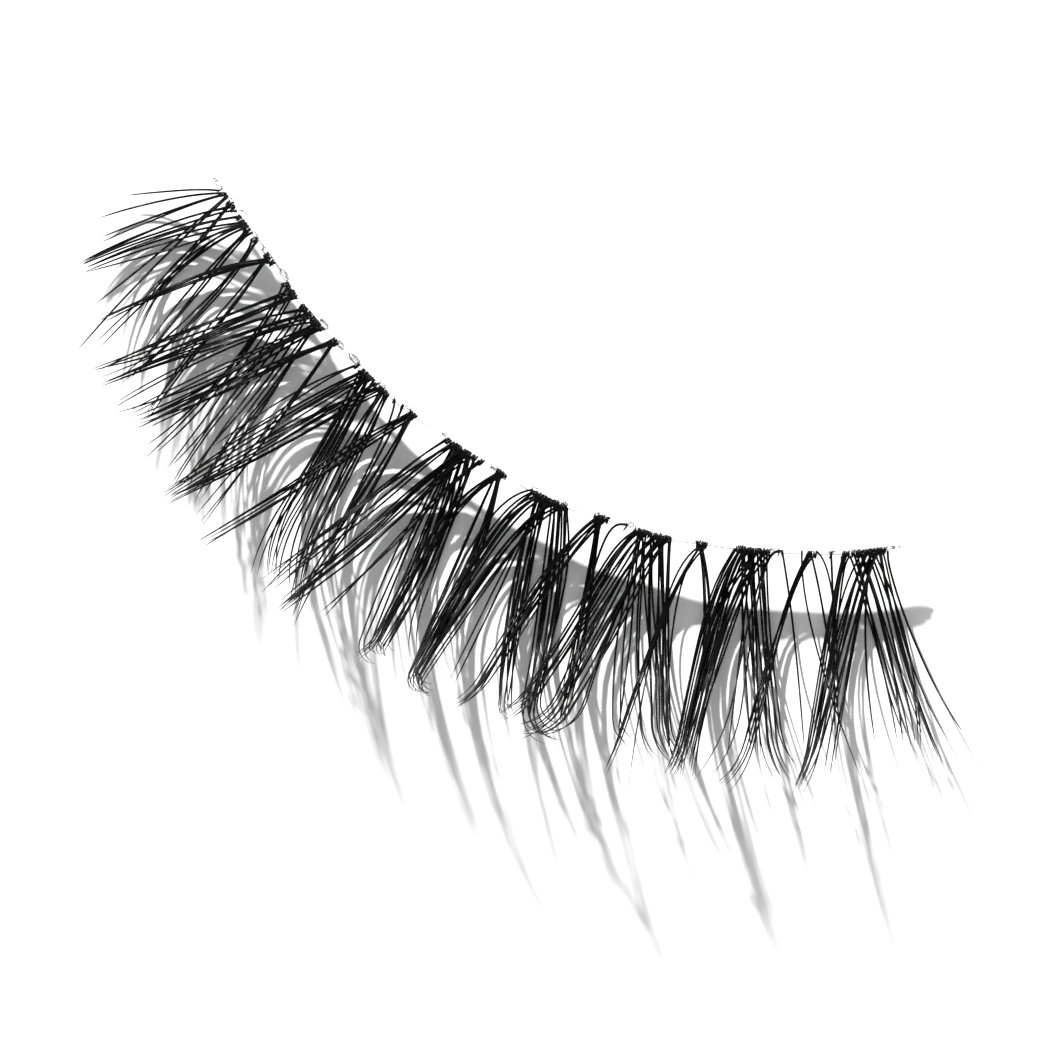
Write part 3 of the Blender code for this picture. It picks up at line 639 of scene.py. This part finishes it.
def knot_loops(bundle, line, draw):
    """(centres, radii) of the knots that tie one bundle to the band, in the layout's frame."""
    count = max(1, round(bundle.root_wide * GRID / KNOT_SPACING))
    middle = line.travel(on_plan(bundle.root_x, bundle.root_y))
    travels = middle + spots(draw, count, KNOT_LOOSE, 0.0) * bundle.root_wide * KNOT_SPREAD * GRID / 2
    outward = np.array([part for part, _ in KNOT_LOOP]) * BAND_THICKNESS
    height = np.array([part for _, part in KNOT_LOOP]) * BAND_HEIGHT
    loops = []
    for travel in travels:
        point, along, outwards = line.place(travel)
        slant = draw.normal(0.0, KNOT_VARIES) * np.linspace(1.0, -1.0, len(KNOT_LOOP))
        reach = outward * draw.uniform(*KNOT_REACH)
        plan = point[:2] + outwards * reach[:, None] + along * slant[:, None]
        loops.append(np.column_stack((plan, point[2] + height)))
    radii = KNOT_WIDTH / 2 * draw.uniform(*KNOT_SIZES, (count, 1)) * np.array(KNOT_SWELL)
    return np.array(loops), radii


def rod_mesh(name, centres, radii, sides, shades):
    """A mesh of bent rods with round sections."""
    rod = straight_rod(sides, centres.shape[1])
    data = bent_rods(name, rod, centres, radii, radii, shades)
    bpy.data.meshes.remove(rod)
    return data


def joined(name, meshes):
    """One mesh made of several, which are removed."""
    mesh = bmesh.new()
    for part in meshes:
        mesh.from_mesh(part)
    data = bpy.data.meshes.new(name)
    mesh.to_mesh(data)
    mesh.free()
    for part in meshes:
        bpy.data.meshes.remove(part)
    return data


def strand_piece(name, bundles, settings, key, *nodes):
    """One piece with all the strands of the bundles and their knots."""
    line = BandLine(LINE_STEPS)
    centres, radii = all_strands(bundles, line, settings, key)
    shades = new_random(settings, key, 1).random(len(centres))
    strands = rod_mesh("strands", centres, radii, settings.strand_sides, shades)
    draw = new_random(settings, key, 2)
    knots = [knot_loops(bundle, line, draw) for bundle in bundles]
    loops = np.concatenate([loop for loop, _ in knots])
    swells = np.concatenate([swell for _, swell in knots])
    tied = rod_mesh("knots", loops, swells, settings.strand_sides, draw.random(len(loops)))
    return finished(name, joined(name, (strands, tied)), fibre_material(settings), "fibre", *nodes)


def add_socket(group, name, kind, value=None, output=False):
    """One named socket of a node group."""
    socket = group.interface.new_socket(name=name, in_out="OUTPUT" if output else "INPUT", socket_type=kind)
    if value is not None:
        socket.default_value = value
    return socket


def node(tree, kind, **values):
    """A node with its properties and input values set."""
    made = tree.nodes.new(kind)
    for name, value in values.items():
        if name in made.inputs:
            made.inputs[name].default_value = value
        else:
            setattr(made, name, value)
    return made


def fine_grain_group():
    """Small soft variation on Object coordinates, used by the fibre, the band and the glue."""
    found = bpy.data.node_groups.get("Fine grain")
    if found:
        return found
    group = bpy.data.node_groups.new("Fine grain", "ShaderNodeTree")
    add_socket(group, "Scale", "NodeSocketFloat", GRAIN_SCALE)
    add_socket(group, "Stretch", "NodeSocketVector", (1.0, 1.0, 1.0))
    add_socket(group, "Low", "NodeSocketFloat", 0.0)
    add_socket(group, "High", "NodeSocketFloat", 1.0)
    add_socket(group, "Value", "NodeSocketFloat", output=True)
    add_socket(group, "Height", "NodeSocketFloat", output=True)
    start = group.nodes.new("NodeGroupInput")
    end = group.nodes.new("NodeGroupOutput")
    place = group.nodes.new("ShaderNodeTexCoord")
    mapping = group.nodes.new("ShaderNodeMapping")
    grain = node(group, "ShaderNodeTexNoise", Detail=GRAIN_DETAIL, Roughness=GRAIN_ROUGHNESS)
    spread = group.nodes.new("ShaderNodeMapRange")
    links = group.links
    links.new(place.outputs["Object"], mapping.inputs["Vector"])
    links.new(start.outputs["Stretch"], mapping.inputs["Scale"])
    links.new(mapping.outputs["Vector"], grain.inputs["Vector"])
    links.new(start.outputs["Scale"], grain.inputs["Scale"])
    links.new(grain.outputs["Fac"], spread.inputs["Value"])
    links.new(start.outputs["Low"], spread.inputs["To Min"])
    links.new(start.outputs["High"], spread.inputs["To Max"])
    spread.inputs["From Min"].default_value = GRAIN_LOW
    spread.inputs["From Max"].default_value = GRAIN_HIGH
    links.new(spread.outputs["Result"], end.inputs["Value"])
    links.new(grain.outputs["Fac"], end.inputs["Height"])
    return group


def grain_node(tree, **values):
    """The fine grain group in a material, with its own values."""
    made = tree.nodes.new("ShaderNodeGroup")
    made.node_tree = fine_grain_group()
    for name, value in values.items():
        made.inputs[name].default_value = value
    return made


def new_material(name):
    """(material, its tree, its Principled shader) for a new material."""
    material = bpy.data.materials.new(name)
    material.use_nodes = True
    tree = material.node_tree
    return material, tree, tree.nodes["Principled BSDF"]


def fibre_material(settings):
    """Glossy black fibre: darkest at the root, a little greyer and duller at the fine tip."""
    found = bpy.data.materials.get("Black fibre")
    if found:
        return found
    material, tree, shader = new_material("Black fibre")
    links = tree.links
    along = node(tree, "ShaderNodeAttribute", attribute_name="along")
    shade = node(tree, "ShaderNodeAttribute", attribute_name="shade")
    colours = tree.nodes.new("ShaderNodeValToRGB")
    root, tip = colours.color_ramp.elements
    root.color = (*settings.fibre_colour, 1.0)
    root.position = FIBRE_DARK_TO
    tip.color = (*settings.tip_colour, 1.0)
    tip.position = 1.0
    shift = node(tree, "ShaderNodeMath", operation="MULTIPLY_ADD")
    shift.inputs[1].default_value = FIBRE_SHADE
    links.new(shade.outputs["Fac"], shift.inputs[0])
    links.new(along.outputs["Fac"], shift.inputs[2])
    links.new(shift.outputs["Value"], colours.inputs["Fac"])
    links.new(colours.outputs["Color"], shader.inputs["Base Color"])
    gloss = grain_node(tree, Scale=FIBRE_GRAIN, Low=FIBRE_ROUGHNESS[0], High=FIBRE_ROUGHNESS[1])
    links.new(gloss.outputs["Value"], shader.inputs["Roughness"])
    relief = grain_node(tree, Scale=FIBRE_RELIEF)
    bump = node(tree, "ShaderNodeBump", Strength=FIBRE_BUMP, Distance=FIBRE_BUMP_DEPTH)
    links.new(relief.outputs["Height"], bump.inputs["Height"])
    links.new(bump.outputs["Normal"], shader.inputs["Normal"])
    shader.inputs["IOR"].default_value = FIBRE_IOR
    shader.inputs["Specular IOR Level"].default_value = FIBRE_SPECULAR
    return material


def clear_material(name, clear, edge, roughness):
    """Clear plastic or dried glue: its clear colour, with painted shade in the edge colour on slanted faces,
    and its roughness between two values.
    """
    found = bpy.data.materials.get(name)
    if found:
        return found
    material, tree, shader = new_material(name)
    links = tree.links
    # Painted edge shade: faces that slant away from the camera take the darker edge colour, in place of the
    # dark refraction lines along the edges.
    slant = node(tree, "ShaderNodeLayerWeight", Blend=EDGE_BLEND)
    colours = tree.nodes.new("ShaderNodeValToRGB")
    colours.color_ramp.elements[0].color = (*clear, 1.0)
    colours.color_ramp.elements[0].position = CLEAR_TO
    colours.color_ramp.elements[1].color = (*edge, 1.0)
    colours.color_ramp.elements[1].position = EDGE_FROM
    links.new(slant.outputs["Facing"], colours.inputs["Fac"])
    links.new(colours.outputs["Color"], shader.inputs["Base Color"])
    shader.inputs["Transmission Weight"].default_value = 1.0
    shader.inputs["IOR"].default_value = CLEAR_IOR
    gloss = grain_node(tree, Scale=CLEAR_GRAIN, Low=roughness[0], High=roughness[1])
    links.new(gloss.outputs["Value"], shader.inputs["Roughness"])
    relief = grain_node(tree, Scale=CLEAR_RELIEF, Stretch=CLEAR_STRETCH)
    bump = node(tree, "ShaderNodeBump", Strength=CLEAR_BUMP, Distance=CLEAR_BUMP_DEPTH)
    links.new(relief.outputs["Height"], bump.inputs["Height"])
    links.new(bump.outputs["Normal"], shader.inputs["Normal"])
    return material


def floor_material(settings):
    """Pale matte paper."""
    material, tree, shader = new_material("Pale floor")
    links = tree.links
    colours = tree.nodes.new("ShaderNodeValToRGB")
    colours.color_ramp.elements[0].color = (*settings.floor_colour, 1.0)
    lighter = [min(1.0, part * FLOOR_LIGHTER) for part in settings.floor_colour]
    colours.color_ramp.elements[1].color = (*lighter, 1.0)
    grain = grain_node(tree, Scale=FLOOR_GRAIN)
    links.new(grain.outputs["Value"], colours.inputs["Fac"])
    links.new(colours.outputs["Color"], shader.inputs["Base Color"])
    shader.inputs["Roughness"].default_value = FLOOR_ROUGHNESS
    shader.inputs["Specular IOR Level"].default_value = FLOOR_SPECULAR
    return material


class LashSettings(bpy.types.PropertyGroup):
    """Sizes and finish of the lashes."""

    strand_width: FloatProperty(
        name="Strand width",
        description="Width of a strand near its root",
        default=0.099 * MM,
        unit="LENGTH",
    )
    strand_sides: IntProperty(
        name="Strand sides",
        description="Sides of a strand's section",
        default=5,
        min=3,
    )
    curl: FloatProperty(
        name="Curl",
        description="Height of the raised tips, as a part of the real one",
        default=1.0,
        subtype="FACTOR",
    )
    seed: IntProperty(
        name="Seed",
        description="Seed of the loose order of the strands",
        default=7,
    )
    fibre_colour: FloatVectorProperty(
        name="Fibre",
        description="Colour of the fibre",
        default=(0.0022, 0.0022, 0.0024),
        subtype="COLOR",
    )
    tip_colour: FloatVectorProperty(
        name="Fibre tip",
        description="Colour of the fine tips",
        default=(0.008, 0.0079, 0.0077),
        subtype="COLOR",
    )
    clear_colour: FloatVectorProperty(
        name="Clear",
        description="Colour of the clear band and glue",
        default=(0.97, 0.97, 0.97),
        subtype="COLOR",
    )
    # Painted shade on the band's slanted faces, standing in for the dark refraction lines along its edges.
    band_edge_painted_shade: FloatVectorProperty(
        name="Band edge",
        description="Colour of the band's edges",
        default=(0.13, 0.13, 0.13),
        subtype="COLOR",
    )
    # Painted shade on the glue's slanted faces, standing in for the dark refraction lines along its edges.
    glue_edge_painted_shade: FloatVectorProperty(
        name="Glue edge",
        description="Colour of the glue's edges",
        default=(0.5, 0.5, 0.5),
        subtype="COLOR",
    )


class StudioSettings(bpy.types.PropertyGroup):
    """The stage, its light and its camera."""

    floor_colour: FloatVectorProperty(
        name="Floor",
        description="Colour of the floor",
        default=(0.90, 0.90, 0.90),
        subtype="COLOR",
    )
    key_power: FloatProperty(
        name="Key light",
        description="Irradiance of the key light",
        default=9.0,
        min=0.0,
    )
    key_angle: FloatProperty(
        name="Key size",
        description="Angle that the key light fills",
        default=math.radians(2.8),
        subtype="ANGLE",
    )
    fill_power: FloatProperty(
        name="Fill light",
        description="Brightness of the fill",
        default=0.52,
        min=0.0,
    )
    camera_height: FloatProperty(
        name="Camera height",
        description="Height of the camera above the floor",
        default=1.0,
        unit="LENGTH",
    )


class LASHES_OT_tufts(bpy.types.Operator):
    """Adds the eighteen tufts of curled strands, and the lone strand beside them"""

    bl_idname = "lashes.tufts"
    bl_label = "Add tufts"

    def execute(self, context):
        settings = context.scene.lash_settings
        for number in sorted({row.tuft for row in BUNDLES}):
            rows = [row for row in BUNDLES if row.tuft == number]
            strand_piece(f"lashes_{number:02d}", rows, settings, number, f"tuft_{number:02d}")
        strand_piece("lone_strand", [LONE_STRAND], settings, LONE_KEY)
        return {"FINISHED"}


class LASHES_OT_band(bpy.types.Operator):
    """Adds the clear ribbon that the strands are tied to"""

    bl_idname = "lashes.band"
    bl_label = "Add band"

    def execute(self, context):
        settings = context.scene.lash_settings
        line = BandLine(RIBBON_STEPS)
        draw = new_random(settings, RIBBON_KEY)
        travels = line.starts
        places = [line.place(travel) for travel in travels]
        points = np.array([point for point, _, _ in places])
        outwards = np.array([out for _, _, out in places])
        points[:, :2] -= outwards * BAND_THICKNESS / 2
        knots = np.linspace(0.0, travels[-1], RIBBON_KNOTS)
        points[:, 2] += np.interp(travels, knots, draw.normal(0.0, RIBBON_WAVE, RIBBON_KNOTS)) * BAND_HEIGHT
        swell = np.interp(travels, knots, draw.uniform(*RIBBON_SWELL, RIBBON_KNOTS))
        lumps = np.interp(travels, knots, draw.random(RIBBON_KNOTS)) * np.exp(-travels / LUMPY_LENGTH)
        nearer = np.minimum(travels, travels[-1] - travels)
        ends = np.clip(nearer / RIBBON_END, 0.0, 1.0) ** RIBBON_END_ROUND
        thick = RIBBON_END_THICK + (1 - RIBBON_END_THICK) * ends
        across = (BAND_THICKNESS / 2 * swell * (1 + lumps) * thick)[None]
        tall = (BAND_HEIGHT / 2 * RIBBON_TALL * (RIBBON_END_TALL + (1 - RIBBON_END_TALL) * ends))[None]
        rod = straight_rod(RIBBON_SIDES, len(travels), squareness=RIBBON_SQUARENESS)
        data = bent_rods("clear_band", rod, points[None], across, tall, np.zeros(1))
        bpy.data.meshes.remove(rod)
        # The band's clear colour and the painted shade on its slanted edges.
        colours = (settings.clear_colour, settings.band_edge_painted_shade)
        material = clear_material("Clear band", *colours, BAND_ROUGHNESS)
        finished("clear_band", data, material, "band", "band")
        return {"FINISHED"}


class LASHES_OT_glue(bpy.types.Operator):
    """Adds the crumbs of dried clear glue on the band"""

    bl_idname = "lashes.glue"
    bl_label = "Add glue"

    def execute(self, context):
        settings = context.scene.lash_settings
        line = BandLine(LINE_STEPS)
        mesh = bmesh.new()
        for number, row in enumerate(GLUE):
            point, along, outwards = line.place(line.travel(on_plan(row.x, row.y)))
            middle = (on_plan(row.x, row.y) + point[:2] - outwards * BAND_THICKNESS / 2) / 2
            centre = Vector((*middle, point[2] + BAND_HEIGHT * GLUE_RAISE))
            turn = Matrix.Rotation(math.atan2(along[1], along[0]), 4, "Z")
            size = Matrix.Diagonal((row.long * GRID / 2, row.wide * GRID / 2, GLUE_HEIGHT / 2, 1.0))
            made = bmesh.ops.create_icosphere(mesh, subdivisions=GLUE_SUBDIVISIONS, radius=1.0)
            own_place = Vector((number * GLUE_LUMP_STEP, 0.0, 0.0))
            for vertex in made["verts"]:
                vertex.co *= 1.0 + GLUE_LUMP * noise.noise(vertex.co * GLUE_LUMP_SCALE + own_place)
            bmesh.ops.transform(mesh, matrix=Matrix.Translation(centre) @ turn @ size, verts=made["verts"])
        data = bpy.data.meshes.new("glue_crumbs")
        mesh.to_mesh(data)
        mesh.free()
        # The glue's clear colour and the painted shade on its slanted edges.
        colours = (settings.clear_colour, settings.glue_edge_painted_shade)
        material = clear_material("Dried glue", *colours, GLUE_ROUGHNESS)
        finished("glue_crumbs", data, material, "band")
        return {"FINISHED"}


class LASHES_OT_studio(bpy.types.Operator):
    """Adds the pale floor, the light and the camera that looks straight down"""

    bl_idname = "lashes.studio"
    bl_label = "Add studio"

    def execute(self, context):
        scene = context.scene
        settings = scene.studio_settings
        mesh = bmesh.new()
        bmesh.ops.create_grid(mesh, x_segments=FLOOR_CELLS, y_segments=FLOOR_CELLS, size=FLOOR_SIZE)
        data = bpy.data.meshes.new("floor")
        mesh.to_mesh(data)
        mesh.free()
        data.materials.append(floor_material(settings))
        floor = bpy.data.objects.new("floor", data)
        scene.collection.objects.link(floor)

        key = bpy.data.lights.new("key", "SUN")
        key.energy = settings.key_power
        key.angle = settings.key_angle
        key_lamp = bpy.data.objects.new("key", key)
        key_lamp.rotation_mode = "QUATERNION"
        key_lamp.rotation_quaternion = Vector(KEY_FROM).to_track_quat("Z", "Y")
        scene.collection.objects.link(key_lamp)

        world = bpy.data.worlds.new("studio")
        world.use_nodes = True
        tree = world.node_tree
        tree.nodes.clear()
        fill = node(tree, "ShaderNodeBackground", Strength=settings.fill_power)
        backdrop = node(tree, "ShaderNodeBackground", Strength=1.0)
        mixed = tree.nodes.new("ShaderNodeMixShader")
        path = tree.nodes.new("ShaderNodeLightPath")
        end = tree.nodes.new("ShaderNodeOutputWorld")
        for shader in (fill, backdrop):
            shader.inputs["Color"].default_value = WHITE
        tree.links.new(path.outputs["Is Camera Ray"], mixed.inputs[0])
        tree.links.new(fill.outputs["Background"], mixed.inputs[1])
        tree.links.new(backdrop.outputs["Background"], mixed.inputs[2])
        tree.links.new(mixed.outputs["Shader"], end.inputs["Surface"])
        scene.world = world
        scene.view_settings.view_transform = "Standard"

        camera = bpy.data.cameras.new("camera")
        middle = on_plan(LAYOUT_SIZE / 2, LAYOUT_SIZE / 2) + SHIFT[:2]
        camera.lens = camera.sensor_width * (settings.camera_height - LENS_PLANE) / (LAYOUT_SIZE * GRID)
        camera.clip_end = CAMERA_REACH
        holder = bpy.data.objects.new("camera", camera)
        holder.location = (*middle, settings.camera_height)
        holder.rotation_euler = Euler((0.0, 0.0, CHORD_ANGLE))
        scene.collection.objects.link(holder)
        scene.camera = holder
        return {"FINISHED"}


class LASHES_PT_panel(bpy.types.Panel):
    """The lashes' settings and steps"""

    bl_idname = "LASHES_PT_panel"
    bl_label = "False eyelashes"
    bl_space_type = "VIEW_3D"
    bl_region_type = "UI"
    bl_category = "Lashes"

    def draw(self, context):
        layout = self.layout
        for settings in (context.scene.lash_settings, context.scene.studio_settings):
            box = layout.box()
            for name in settings.__annotations__:
                box.prop(settings, name)
        for operator in OPERATORS:
            layout.operator(operator.bl_idname)


OPERATORS = (LASHES_OT_band, LASHES_OT_tufts, LASHES_OT_glue, LASHES_OT_studio)
CLASSES = (LashSettings, StudioSettings, *OPERATORS, LASHES_PT_panel)


def register():
    """Registers the classes and hangs their settings on the scene."""
    for item in CLASSES:
        bpy.utils.register_class(item)
    bpy.types.Scene.lash_settings = PointerProperty(type=LashSettings)
    bpy.types.Scene.studio_settings = PointerProperty(type=StudioSettings)


def unregister():
    """Takes the settings and the classes away."""
    del bpy.types.Scene.studio_settings
    del bpy.types.Scene.lash_settings
    for item in reversed(CLASSES):
        bpy.utils.unregister_class(item)


def main():
    """Builds every piece and the stage."""
    register()
    bpy.ops.lashes.band()
    bpy.ops.lashes.tufts()
    bpy.ops.lashes.glue()
    bpy.ops.lashes.studio()


if __name__ == "__main__":
    main()
